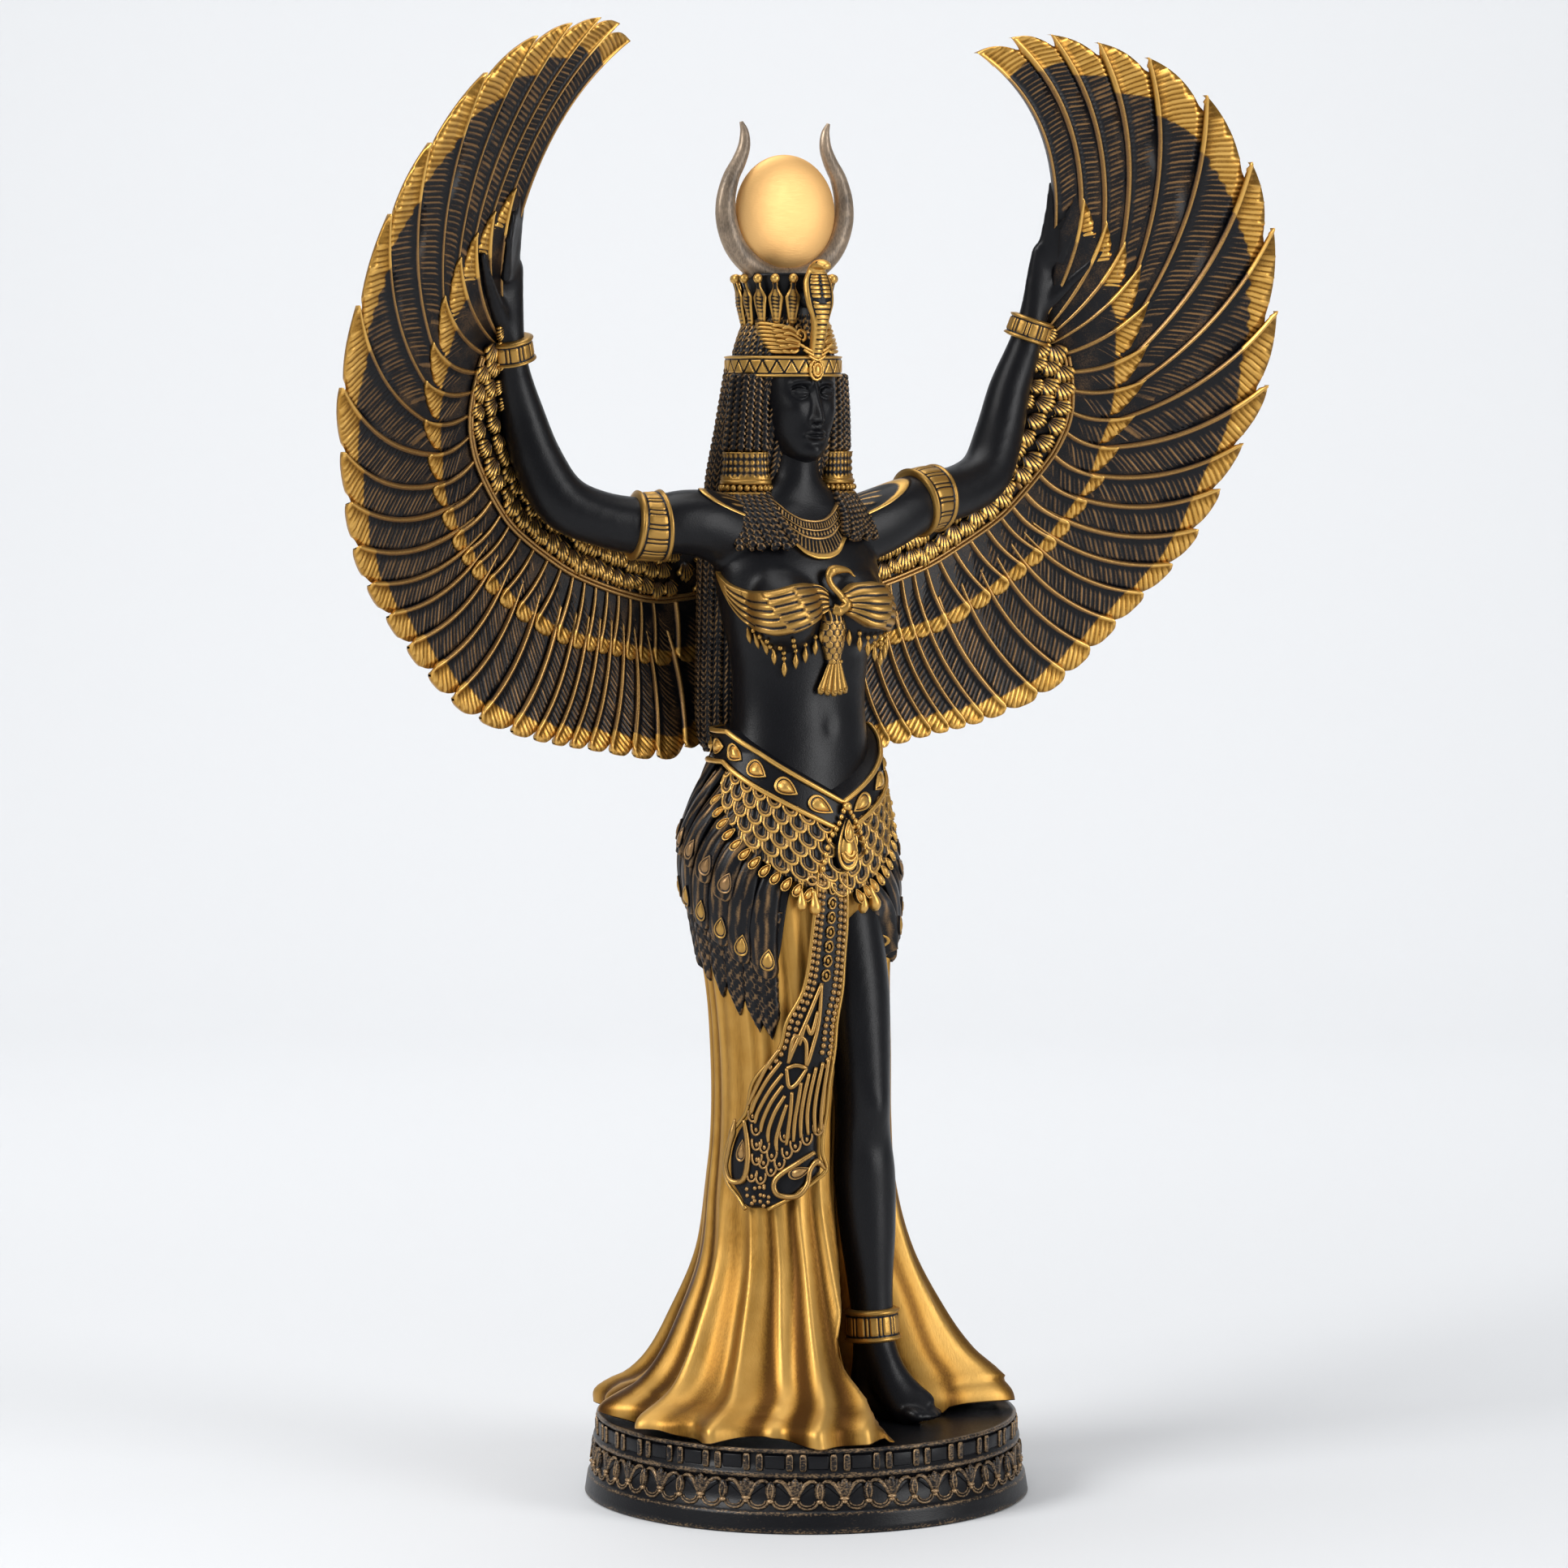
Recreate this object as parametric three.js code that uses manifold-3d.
import * as THREE from 'three';
import { ParametricGeometry } from 'three/addons/geometries/ParametricGeometry.js';
import { mergeVertices } from 'three/addons/utils/BufferGeometryUtils.js';
import Module from 'manifold-3d';

const wasm = await Module();
wasm.setup();

// Plinth, millimetres
const PLINTH_HEIGHT = 22;
const PLINTH_FOOT_RADIUS = 60.7;
const PLINTH_TOP_RADIUS = 57.3;
const PLINTH_SIDES = 36;
const SEAT_GAP = 0.3;
const FRONT = -Math.PI / 2;

// Gown and body
const GOWN_SIDES = 48;
const GOWN_LEVELS = 10;
const FOLDS = 13;
const BODY_SIDES = 14;
const LIMB_SIDES = 7;
const SLIT_RAMP = 0.12;

// Wings
const FEATHERS = 27;
const WING_HALF_THICKNESS = 1.4;
const SECONDARY_RELIEF = 1.0;
const COVERT_RELIEF = 1.9;
const NOTCH_DEPTH = 4.2;
const HOOKED_FEATHERS = 8;
const WING_GAP = 0.8;

// Sun disc and horns
const DISC_CENTRE = [0, 11, 348];
const DISC_RADIUS = 15.6;
const DISC_HALF_THICKNESS = 3.4;

// Level, centre X, centre Y, half width, half depth of the gown
const GOWN_RINGS = [
  [22.3, 0, -1, 54, 53],
  [27, 0, -1, 54, 52],
  [32, 2.5, -0.5, 48, 46],
  [38, 2, 0, 42.5, 40],
  [48, 1.5, 1, 37, 34],
  [65, 0.8, 2, 30, 26.5],
  [83, 0, 3, 27, 22.6],
  [101, 0.2, 3, 25.6, 21.6],
  [119, 0.2, 3, 25.6, 21.6],
  [140, -0.5, 3.5, 26.6, 21],
  [163, -2.2, 4, 29.6, 21.8],
  [175, -3, 5, 29.4, 21.6],
  [186, -2.8, 5, 27, 19.4],
  [203, -0.8, 4, 21.2, 15],
];

// Level, then the slit's two edges as angles from the front and its depth as a share of the radius
const SLIT_ROWS = [
  [22, -0.31, 0.86, 0.8],
  [40, -0.28, 0.86, 0.74],
  [56, -0.2, 0.84, 0.66],
  [71, -0.14, 0.86, 0.58],
  [89, -0.14, 0.92, 0.52],
  [106, -0.14, 0.98, 0.5],
  [130, -0.06, 1.02, 0.46],
  [150, 0.02, 0.95, 0.28],
  [162, 0.08, 0.7, 0],
];

// Angle from the front and level along the lower edge of the feathered over-skirt
const SKIRT_EDGE = [
  [-3.2, 146],
  [-1.6, 142],
  [-1.2, 138],
  [-0.87, 126],
  [-0.62, 144],
  [-0.4, 164],
  [0, 171],
  [0.28, 165],
  [0.6, 154],
  [0.93, 145],
  [1.2, 150],
  [3.2, 146],
];

// Level, middle and half width of the sash as angles from the front
const SASH_ROWS = [
  [172, -0.04, 0.14],
  [155, -0.12, 0.17],
  [140, -0.24, 0.21],
  [127, -0.42, 0.25],
  [118, -0.51, 0.3],
  [105, -0.63, 0.36],
  [96, -0.7, 0.38],
  [88, -0.76, 0.26],
  [79, -0.86, 0.05],
];

// Level, centre X, centre Y, half width, half depth of the bare torso and neck
const TORSO_RINGS = [
  [180, -2.5, 5, 26, 18],
  [200, -0.8, 4.5, 22, 15.5],
  [208, -0.3, 4, 20.3, 14],
  [217, 0, 4, 19.6, 13],
  [228, 0.2, 4, 20.5, 13.5],
  [240, 0.2, 4, 23.5, 14.5],
  [252, 0, 5, 24.8, 13.9],
  [257, 0, 5.5, 23, 12.6],
  [262, 0, 6.5, 21.5, 11],
  [269, 0, 7.5, 18.5, 8.8],
  [273, 0, 7.5, 12, 8],
  [277, 0, 7, 7.5, 7.2],
  [288, 0, 6, 6.4, 6.8],
];

// Level, centre X, centre Y, half width, half depth of the bare leg
const LEG_RINGS = [
  [165, 8, -4, 10, 11],
  [140, 9, -9, 9.8, 10.5],
  [124, 9.2, -12, 8.6, 9.2],
  [112, 9.2, -13.8, 7.9, 8.4],
  [101, 9.6, -14, 7.7, 8],
  [88, 10, -13.8, 8.1, 8.4],
  [72, 10.2, -14.8, 7.3, 7.6],
  [58, 10.4, -16, 6.1, 6.4],
  [46, 10.8, -16.8, 5.5, 5.8],
  [36, 11, -17, 5.6, 6.6],
  [23, 11, -17, 6, 7.4],
];

// Position along the foot and its half width and height at each step
const FOOT_RINGS = [
  [8.6, -11, 27, 4.6, 5],
  [10.2, -15, 30, 5.6, 8],
  [12, -19.5, 28.5, 5.8, 6.3],
  [14.2, -24.5, 26.5, 6.3, 4.3],
  [16.4, -29, 25, 6.4, 2.9],
  [17.8, -32.6, 24.2, 5.4, 2.1],
];

// Point and radius down one arm, from the shoulder to the finger tips
const ARM_POINTS = [
  [18, 7, 261, 9.5, 8.5],
  [27, 6.8, 264, 9.3, 8.5],
  [36, 7.4, 266, 8.6, 8],
  [44.5, 9.2, 266.8, 8, 7.6],
  [57.5, 11.6, 269, 7.4, 7.2],
  [68, 14.2, 274, 7.4, 7],
  [74.2, 16.6, 285, 6.9, 6.6],
  [78.2, 17.5, 297, 6, 5.8],
  [81.6, 16.3, 307, 5, 4.8],
  [83.6, 14.4, 315, 4.5, 4.2],
  [85.6, 13.2, 323, 5.4, 3.6],
  [86.4, 12, 331, 5.4, 3],
  [85.6, 9.8, 341, 4.2, 2.3],
  [84.6, 8, 351, 2.4, 1.6],
];
const ARM_RISE = 3;

// Feather number, then X and Z of the rim, the secondary line and the leading edge
const WING_KNOTS = [
  [1, 55, 392, 83, 355, 86, 351],
  [2, 62, 396, 90, 353, 86.5, 343],
  [3, 71, 397, 97, 347, 87, 337],
  [5, 96, 391, 108, 335, 87.5, 328],
  [6, 113, 381, 112, 325, 87, 322],
  [7, 129, 363, 114, 313, 86, 317],
  [8, 139, 345, 115, 303, 83.5, 313],
  [9, 145, 322, 114, 293, 83, 309],
  [10, 147, 300, 111, 283, 82, 305],
  [11, 143, 283, 108, 274, 80, 301],
  [13, 134, 257, 99, 260, 75, 293],
  [15, 119, 238, 91, 251, 70, 287],
  [18, 96, 216, 75, 239, 61, 281],
  [20, 77, 208, 61, 232, 54, 277],
  [24, 53, 203, 43, 228, 40, 270],
  [27, 30, 200, 28, 225, 27, 263],
  [28, 18, 204, 17, 226, 17, 261],
  [29, 6, 212, 6, 228, 6, 258],
];

const GOLD = { color: 0xb9812c, metalness: 0.75, roughness: 0.34 };
const BLACK = { color: 0x131214, metalness: 0.1, roughness: 0.42 };
const DRY_BRUSHED = { color: 0x4a3620, metalness: 0.35, roughness: 0.5 };

function material(name, look) {
  return Object.assign(new THREE.MeshStandardMaterial(look), { name });
}

function toSolid(geometry) {
  const bare = geometry.clone();
  bare.deleteAttribute('normal');
  bare.deleteAttribute('uv');
  const merged = mergeVertices(bare, 1e-4);
  const corners = [];
  for (let i = 0; i < merged.index.count; i += 3) {
    const face = [0, 1, 2].map((k) => merged.index.getX(i + k));
    if (new Set(face).size === 3) corners.push(...face);
  }
  const vertProperties = new Float32Array(merged.attributes.position.array);
  const build = (triVerts) => {
    const mesh = new wasm.Mesh({ numProp: 3, vertProperties, triVerts: new Uint32Array(triVerts) });
    return new wasm.Manifold(mesh);
  };
  const solid = build(corners);
  if (solid.volume() > 0) return solid;
  const turned = [];
  for (let i = 0; i < corners.length; i += 3) {
    turned.push(corners[i], corners[i + 2], corners[i + 1]);
  }
  return build(turned);
}

function toMesh(solid, name, look) {
  const mesh = solid.getMesh();
  const geometry = new THREE.BufferGeometry();
  geometry.setAttribute('position', new THREE.BufferAttribute(new Float32Array(mesh.vertProperties), 3));
  geometry.setIndex(new THREE.BufferAttribute(new Uint32Array(mesh.triVerts), 1));
  geometry.computeVertexNormals();
  return Object.assign(new THREE.Mesh(geometry, look), { name });
}

// Smooth value between the rows of a table whose first column rises or falls
function between(table, at) {
  const rising = table[table.length - 1][0] > table[0][0];
  let k = 1;
  while (k < table.length - 1 && (rising ? table[k][0] < at : table[k][0] > at)) k += 1;
  const rows = [k - 2, k - 1, k, k + 1].map((n) => table[Math.min(Math.max(n, 0), table.length - 1)]);
  const span = rows[2][0] - rows[1][0];
  const t = Math.min(Math.max((at - rows[1][0]) / span, 0), 1);
  return rows[1].map((_, c) => {
    const before = rows[2][0] - rows[0][0];
    const after = rows[3][0] - rows[1][0];
    const m0 = before ? ((rows[2][c] - rows[0][c]) / before) * span : 0;
    const m1 = after ? ((rows[3][c] - rows[1][c]) / after) * span : 0;
    const h = t * t * (3 - 2 * t);
    const ends = rows[1][c] * (1 - h) + rows[2][c] * h;
    return ends + m0 * t * (1 - t) * (1 - t) - m1 * t * t * (1 - t);
  });
}

// Closed skin round a run of rings; each end closes on the middle of its ring
function loft(ring, sides, levels) {
  const rows = levels + 2;
  const middle = (step) => {
    const sum = new THREE.Vector3();
    for (let k = 0; k < sides; k += 1) sum.add(ring(step, (k / sides) * 2 * Math.PI));
    return sum.divideScalar(sides);
  };
  const ends = [middle(0), middle(1)];
  const skin = (u, v, target) => {
    const row = Math.round(v * rows);
    if (row === 0 || row === rows) {
      target.copy(ends[row === 0 ? 0 : 1]);
      return;
    }
    const side = Math.round(u * sides) % sides;
    target.copy(ring((row - 1) / levels, (side / sides) * 2 * Math.PI));
  };
  return toSolid(new ParametricGeometry(skin, sides, rows));
}

// Upright oval rings from a table of level, centre and half sizes
function ovals(table, sides, levels) {
  const first = table[0][0];
  const last = table[table.length - 1][0];
  return loft((step, angle) => {
    const [z, x, y, a, b] = between(table, first + (last - first) * step);
    return new THREE.Vector3(x + a * Math.cos(angle), y + b * Math.sin(angle), z);
  }, sides, levels);
}

// Round limb through points that carry a half width and a half depth
function limb(points, sides, levels) {
  const curve = new THREE.CatmullRomCurve3(points.map(([x, y, z]) => new THREE.Vector3(x, y, z)));
  const last = points.length - 1;
  return loft((step, angle) => {
    const at = step * last;
    const k = Math.min(Math.floor(at), last - 1);
    const width = THREE.MathUtils.lerp(points[k][3], points[k + 1][3], at - k);
    const depth = THREE.MathUtils.lerp(points[k][4], points[k + 1][4], at - k);
    const way = curve.getTangent(step);
    const back = new THREE.Vector3(0, 1, 0).projectOnPlane(way).normalize();
    const across = new THREE.Vector3().crossVectors(way, back);
    return curve.getPoint(step)
      .addScaledVector(across, width * Math.cos(angle))
      .addScaledVector(back, depth * Math.sin(angle));
  }, sides, levels);
}

function ball(x, y, z, a, b, c, sides = 10) {
  const sphere = new THREE.SphereGeometry(1, sides, Math.round(sides * 0.6));
  sphere.rotateX(Math.PI / 2);
  sphere.scale(a, b, c);
  sphere.translate(x, y, z);
  return toSolid(sphere);
}

function turned(outline, sides) {
  const points = outline.map(([r, z]) => new THREE.Vector2(r, z));
  const lathe = new THREE.LatheGeometry(points, sides);
  lathe.rotateX(Math.PI / 2);
  return toSolid(lathe);
}

function mirrored(solid) {
  return solid.mirror([1, 0, 0]);
}

function plinth() {
  const slope = (z) => PLINTH_FOOT_RADIUS + ((PLINTH_TOP_RADIUS - PLINTH_FOOT_RADIUS) * z) / PLINTH_HEIGHT;
  return turned([
    [0, 0],
    [slope(0), 0],
    [slope(5.4), 5.4],
    [slope(6) - 1, 6],
    [slope(14.4) - 1, 14.4],
    [slope(14.8), 14.8],
    [slope(16), 16],
    [slope(16.4) - 0.9, 16.4],
    [slope(20.8) - 0.9, 20.8],
    [slope(21.2), 21.2],
    [PLINTH_TOP_RADIUS, PLINTH_HEIGHT],
    [PLINTH_TOP_RADIUS - 1.2, PLINTH_HEIGHT],
    [PLINTH_TOP_RADIUS - 1.6, PLINTH_HEIGHT - 0.5],
    [0, PLINTH_HEIGHT - 0.5],
  ], PLINTH_SIDES);
}

function angleFrom(angle, middle) {
  return Math.atan2(Math.sin(angle - middle), Math.cos(angle - middle));
}

// Depth of the slit that bares the leg, as a share of the radius
function slit(angle, z) {
  const [, left, right, depth] = between(SLIT_ROWS, z);
  const away = angleFrom(angle, FRONT);
  const inside = Math.min(away - left, right - away) / SLIT_RAMP;
  return z > 162 ? 0 : depth * THREE.MathUtils.clamp(inside, 0, 1);
}

// Surface of the gown at a level and an angle round the figure
function gownPoint(z, angle, out = 0) {
  const [, x, y, a, b] = between(GOWN_RINGS, z);
  const low = THREE.MathUtils.clamp((150 - z) / 120, 0, 1);
  const sweep = angle * FOLDS + 1.3 * Math.sin(2 * angle) + low * 0.8;
  const wave = 0.7 * Math.cos(sweep) + 0.3 * Math.cos(sweep * 2 + 1);
  const depth = 0.5 * low + 3.4 * low ** 4;
  const hem = z < 30 ? 1 + 0.035 * Math.cos(angle * 7 + 0.6) : 1;
  const scale = (1 - slit(angle, z)) * hem;
  const r = depth * wave + out;
  return new THREE.Vector3(
    x + (a * scale + r) * Math.cos(angle),
    y + (b * scale + r) * Math.sin(angle),
    z,
  );
}

function gown() {
  const foot = PLINTH_HEIGHT + SEAT_GAP;
  return loft((step, angle) => {
    const z = foot + (beltTop(angle) - 3 - foot) * step ** 1.6;
    return gownPoint(z, angle);
  }, GOWN_SIDES, GOWN_LEVELS);
}

// Layer worn over the hips between an upper and a lower edge
function layer(top, bottom, out, sides, levels) {
  return loft((step, angle) => {
    const z = THREE.MathUtils.lerp(bottom(angle), top(angle), step);
    return gownPoint(z, angle, out);
  }, sides, levels);
}

function bell(angle, middle, width) {
  const away = angleFrom(angle, middle) / width;
  return Math.exp(-away * away);
}

function beltTop(angle) {
  const away = Math.abs(angleFrom(angle, FRONT + 0.12));
  return Math.min(190 + 15 * away - 1.6 * away * away, 209);
}

function beltBottom(angle) {
  return beltTop(angle) - 8;
}

function apronEdge(angle) {
  const away = Math.abs(angleFrom(angle, FRONT));
  return Math.min(164 + 8 * away + 12 * away * away, 197);
}

function skirtEdge(angle) {
  return between(SKIRT_EDGE, angleFrom(angle, FRONT))[1];
}

// Long ornamental sash that curves from the buckle to a point low on the gown
function sash() {
  const high = SASH_ROWS[0][0];
  const low = SASH_ROWS[SASH_ROWS.length - 1][0];
  return loft((step, angle) => {
    const z = THREE.MathUtils.lerp(high, low, step);
    const [, middle, half] = between(SASH_ROWS, z);
    const outer = Math.sin(angle) < 0;
    const lift = outer ? 2.4 + 0.6 * Math.abs(Math.sin(angle)) : -4;
    return gownPoint(z, FRONT + middle + half * Math.cos(angle), lift);
  }, 8, 9);
}

function leg() {
  const shin = ovals(LEG_RINGS, 8, 8);
  const foot = loft((step, angle) => {
    const at = step * (FOOT_RINGS.length - 1);
    const k = Math.min(Math.floor(at), FOOT_RINGS.length - 2);
    const next = FOOT_RINGS[k + 1];
    const [x, y, z, half, high] = FOOT_RINGS[k].map((v, c) => THREE.MathUtils.lerp(v, next[c], at - k));
    const level = z + high * Math.sin(angle);
    return new THREE.Vector3(x + half * Math.cos(angle), y, Math.max(level, PLINTH_HEIGHT + SEAT_GAP));
  }, 8, 5);
  const anklet = ovals([[42.5, 10.9, -16.9, 7.1, 7.4], [51.5, 10.6, -16.4, 6.9, 7.2]], 8, 1);
  return wasm.Manifold.union([shin, foot, anklet]);
}

function torso() {
  const trunk = ovals(TORSO_RINGS, BODY_SIDES, 9);
  const breast = ball(11.3, -7.6, 240.5, 9, 8.4, 8.8, 8);
  const bird = limb([
    [1, -11, 222, 4, 2],
    [1, -12.5, 232, 4.5, 3],
    [1, -14, 246, 4, 3],
    [0.6, -11, 254, 2.4, 2.4],
  ], 6, 4);
  return wasm.Manifold.union([trunk, breast, mirrored(breast), bird]);
}

// Arm on the side +1 (left) or -1 (right); the left hand is held a little higher
function arm(side) {
  const lift = (points) => points.map(([x, y, z, a, b]) => [x, y, z + (x > 30 ? ARM_RISE * side : 0), a, b]);
  const bare = limb(lift(ARM_POINTS), LIMB_SIDES, 12);
  const armlet = limb(lift([[40, 8.3, 266.4, 9.2, 9], [48.8, 10, 267.2, 8.9, 8.7]]), LIMB_SIDES, 1);
  const bracelet = limb(lift([[82.4, 15.6, 310.5, 6, 5.5], [83.9, 14.2, 317, 5.8, 5.3]]), LIMB_SIDES, 1);
  const thumb = limb(lift([[89, 11, 325, 2, 2], [93, 8.6, 333, 1.8, 1.8], [93.4, 7, 340, 1.1, 1.1]]), 4, 2);
  const whole = wasm.Manifold.union([bare, armlet, bracelet, thumb]);
  return side > 0 ? whole : mirrored(whole);
}

function head() {
  const skull = ball(0, 9, 296, 11.3, 13.2, 16.5, 10);
  const jaw = ball(0, 3.2, 287.5, 7.8, 8, 9, 8);
  const nose = ball(0, -5.6, 290.5, 1.7, 2.6, 3.4, 4);
  return wasm.Manifold.union([skull, jaw, nose]);
}

function hair() {
  const wig = ovals([
    [262, 0, 17, 20.5, 12],
    [275, 0, 17, 20, 12.5],
    [290, 0, 15, 17.5, 14],
    [303, 0, 13.5, 15.5, 15],
    [310, 0, 12.5, 14, 14],
  ], 14, 3);
  const fall = ovals([
    [201, 0, 24, 17, 7],
    [206, 0, 24, 19.5, 9],
    [240, 0, 23.5, 19.5, 10],
    [262, 0, 21, 20, 11],
    [270, 0, 18, 19, 11],
  ], 12, 3);
  const lappet = limb([
    [13.6, 7, 303, 3.2, 5],
    [14.6, 7.6, 290, 4, 4.6],
    [15.1, 6.4, 277, 4.9, 4.8],
    [15.6, -3, 257, 6.8, 4.4],
  ], LIMB_SIDES, 4);
  return wasm.Manifold.union([wig, fall, lappet, mirrored(lappet)]);
}

function collar() {
  return loft((step, angle) => {
    const edge = 259 - 4 * bell(angle, FRONT, 0.8);
    const [, x, y, a, b] = between(TORSO_RINGS, THREE.MathUtils.lerp(edge, 274, step));
    const out = 1.3;
    const z = THREE.MathUtils.lerp(edge, 274, step);
    return new THREE.Vector3(x + (a + out) * Math.cos(angle), y + (b + out) * Math.sin(angle), z);
  }, 16, 2);
}

function crown() {
  const band = ovals([[304, 0, 12, 15.7, 16.7], [309.6, 0, 12, 15.5, 16.3]], 16, 1);
  const cap = ovals([[308, 0, 11.8, 14, 14.6], [314, 0, 11.5, 12, 12.6], [320, 0, 11.5, 10.4, 11]], 12, 2);
  const modius = turned([
    [0, 317], [11, 317], [10.2, 321], [10.4, 326], [12, 328.4], [12, 331], [0, 331],
  ], 12).translate([0, 11.5, 0]);
  const cobra = limb([
    [0, -3.6, 306, 2, 1.6],
    [0, -6, 312, 2.4, 1.7],
    [0, -7.2, 319, 3.4, 1.8],
    [0, -5.4, 327, 4.2, 1.8],
    [0, -5, 332, 2.8, 2],
    [0, -8.6, 333.6, 1.6, 1.5],
  ], 6, 7);
  const bridge = new THREE.BoxGeometry(4, 10, 8);
  bridge.translate(0, -1, 325);
  const ring = [];
  for (let k = 1; k < 10; k += 1) {
    const turn = FRONT + (k / 10) * 2 * Math.PI;
    ring.push(ball(11.6 * Math.cos(turn), 11.5 + 11.6 * Math.sin(turn), 325, 2.6, 2.6, 5.6, 4));
  }
  return wasm.Manifold.union([band, cap, modius, cobra, toSolid(bridge), ...ring]);
}

function hornsAndDisc() {
  const horn = limb([
    [0, 11, 331, 3.2, 2.8],
    [9.3, 11, 333, 3.2, 2.8],
    [16.4, 11, 340.5, 3.1, 2.7],
    [19, 11, 350, 2.8, 2.5],
    [15.8, 11, 359.5, 2.2, 2.1],
    [12.8, 11, 366, 1.8, 1.7],
    [13.4, 11, 371.4, 0.8, 0.8],
  ], 6, 9);
  const [x, y, z] = DISC_CENTRE;
  const lens = [[0, -1], [0.6, -0.8], [0.96, -0.25], [0.96, 0.25], [0.6, 0.8], [0, 1]];
  const disc = turned(lens.map(([r, t]) => [r * DISC_RADIUS, t * DISC_HALF_THICKNESS]), 18)
    .rotate([90, 0, 0])
    .translate([x, y, z]);
  const stem = ball(0, 11, 330.5, 5, 4, 3, 5);
  return wasm.Manifold.union([horn, mirrored(horn), disc, stem]);
}

// How far back the cupped wing stands at a point of its outline
function wingDepth(x, z) {
  const lean = 0.6 * (1 - Math.exp(-Math.max(0, z - 192) / 55));
  const rise = ((z - 240) / 155) ** 2 * (z > 240 ? 1 : 0.6);
  const raw = 21 - 48 * rise - lean * (x - 100);
  return 34 - 8 * Math.log1p(Math.exp((34 - raw) / 8));
}

// Columns across the feathers: two or three stops a feather and how far each is cut in
function featherStops(plain) {
  if (plain) return Array.from({ length: FEATHERS + 2 }, (_, k) => [k + 1, k > FEATHERS ? 0.6 : 0]);
  const stops = [];
  for (let n = 1; n <= FEATHERS; n += 1) {
    const round = THREE.MathUtils.clamp((n - 9) / 6, 0, 1);
    stops.push([n - THREE.MathUtils.lerp(0.1, 0.5, round), 1]);
    stops.push([n - 0.25 * round, 0]);
    if (n < HOOKED_FEATHERS) stops.push([n + THREE.MathUtils.lerp(0.45, 0.25, round), 0.1]);
  }
  stops[0] = [1, 0];
  stops.splice(1, 1);
  stops.push([FEATHERS + 0.5, 0.6], [FEATHERS + 1, 0.6], [FEATHERS + 2, 0.6]);
  return stops;
}

// Point of the wing outline plane: row 0 leading edge to row 4 feather tips
function wingPlan(row, [at, cut], swell) {
  const k = between(WING_KNOTS, at);
  const lead = new THREE.Vector2(k[5], k[6]);
  const rim = new THREE.Vector2(k[1], k[2]);
  const second = new THREE.Vector2(k[3], k[4]);
  const along = rim.clone().sub(second).normalize();
  const depth = NOTCH_DEPTH * (0.55 + 0.45 * THREE.MathUtils.clamp((14 - at) / 8, 0, 1));
  const aside = new THREE.Vector2();
  if (at === 1) aside.set(-along.y, along.x);
  if (at === FEATHERS + 2) aside.set(-1, 0);
  rim.addScaledVector(along, -depth * cut);
  second.addScaledVector(along, -2 * cut);
  const sag = 3 + 6 * THREE.MathUtils.clamp((20 - at) / 13, 0, 1);
  const bow = new THREE.Vector2(along.y, -along.x).multiplyScalar(sag * 0.5);
  const half = second.clone().lerp(rim, 0.5).add(bow);
  return [
    lead.add(lead.clone().sub(second).setLength(swell)),
    second.clone().addScaledVector(along, -0.4),
    second,
    half,
    rim,
  ][row].addScaledVector(aside, swell);
}

const ROW_RELIEF = [COVERT_RELIEF, SECONDARY_RELIEF, 0, 0, 0];

function wing(swell, plain) {
  const stops = featherStops(plain);
  const columns = stops.length - 1;
  const rows = ROW_RELIEF.length;
  const loop = 2 * rows;
  const skin = (u, v, target) => {
    const column = Math.round(u * columns);
    const place = Math.round(v * loop) % loop;
    const outer = place < rows;
    const row = outer ? place : loop - 1 - place;
    const spot = wingPlan(row, stops[column], swell);
    const relief = WING_HALF_THICKNESS + ROW_RELIEF[row] + swell;
    const offset = outer ? -relief : relief;
    target.set(spot.x, wingDepth(spot.x, spot.y) + offset, spot.y);
  };
  const strip = new ParametricGeometry(skin, columns, loop);
  return closeEnds(strip, columns, loop, rows);
}

// Stitch the two open ends of a skin whose rows run out on one face and back on the other
function closeEnds(strip, columns, loop, rows) {
  const index = Array.from(strip.index.array);
  const vertex = (column, place) => (place % loop) * (columns + 1) + column;
  for (let k = 0; k < rows - 1; k += 1) {
    const facing = loop - 1 - k;
    const near = [vertex(0, k), vertex(0, k + 1), vertex(0, facing - 1), vertex(0, facing)];
    const far = [k, k + 1, facing - 1, facing].map((place) => vertex(columns, place));
    index.push(near[0], near[1], near[2], near[0], near[2], near[3]);
    index.push(far[0], far[2], far[1], far[0], far[3], far[2]);
  }
  strip.setIndex(index);
  return toSolid(strip);
}

function figure(clearances) {
  const parts = [
    gown(),
    layer((angle) => beltTop(angle) - 2, skirtEdge, 1.3, 36, 2),
    layer((angle) => beltTop(angle) - 2, apronEdge, 2.2, 28, 1),
    layer(beltTop, beltBottom, 3.1, 28, 1),
    sash(),
    leg(),
    torso(),
    arm(1),
    arm(-1),
    head(),
    hair(),
    collar(),
    crown(),
    hornsAndDisc(),
  ];
  const whole = wasm.Manifold.union(parts);
  const trimmed = wasm.Manifold.difference([whole, ...clearances]);
  return trimmed.decompose().sort((a, b) => b.volume() - a.volume())[0];
}

const leftWing = wing(0, false);
const leftClear = wing(WING_GAP, true);

const object = new THREE.Group();
object.name = 'winged_statuette';
object.add(toMesh(plinth(), 'plinth', material('plinth_black', BLACK)));
object.add(toMesh(figure([leftClear, mirrored(leftClear)]), 'figure', material('figure_black', DRY_BRUSHED)));
object.add(toMesh(mirrored(leftWing), 'wing_right', material('wing_right_gold', GOLD)));
object.add(toMesh(leftWing, 'wing_left', material('wing_left_gold', GOLD)));

export default object;
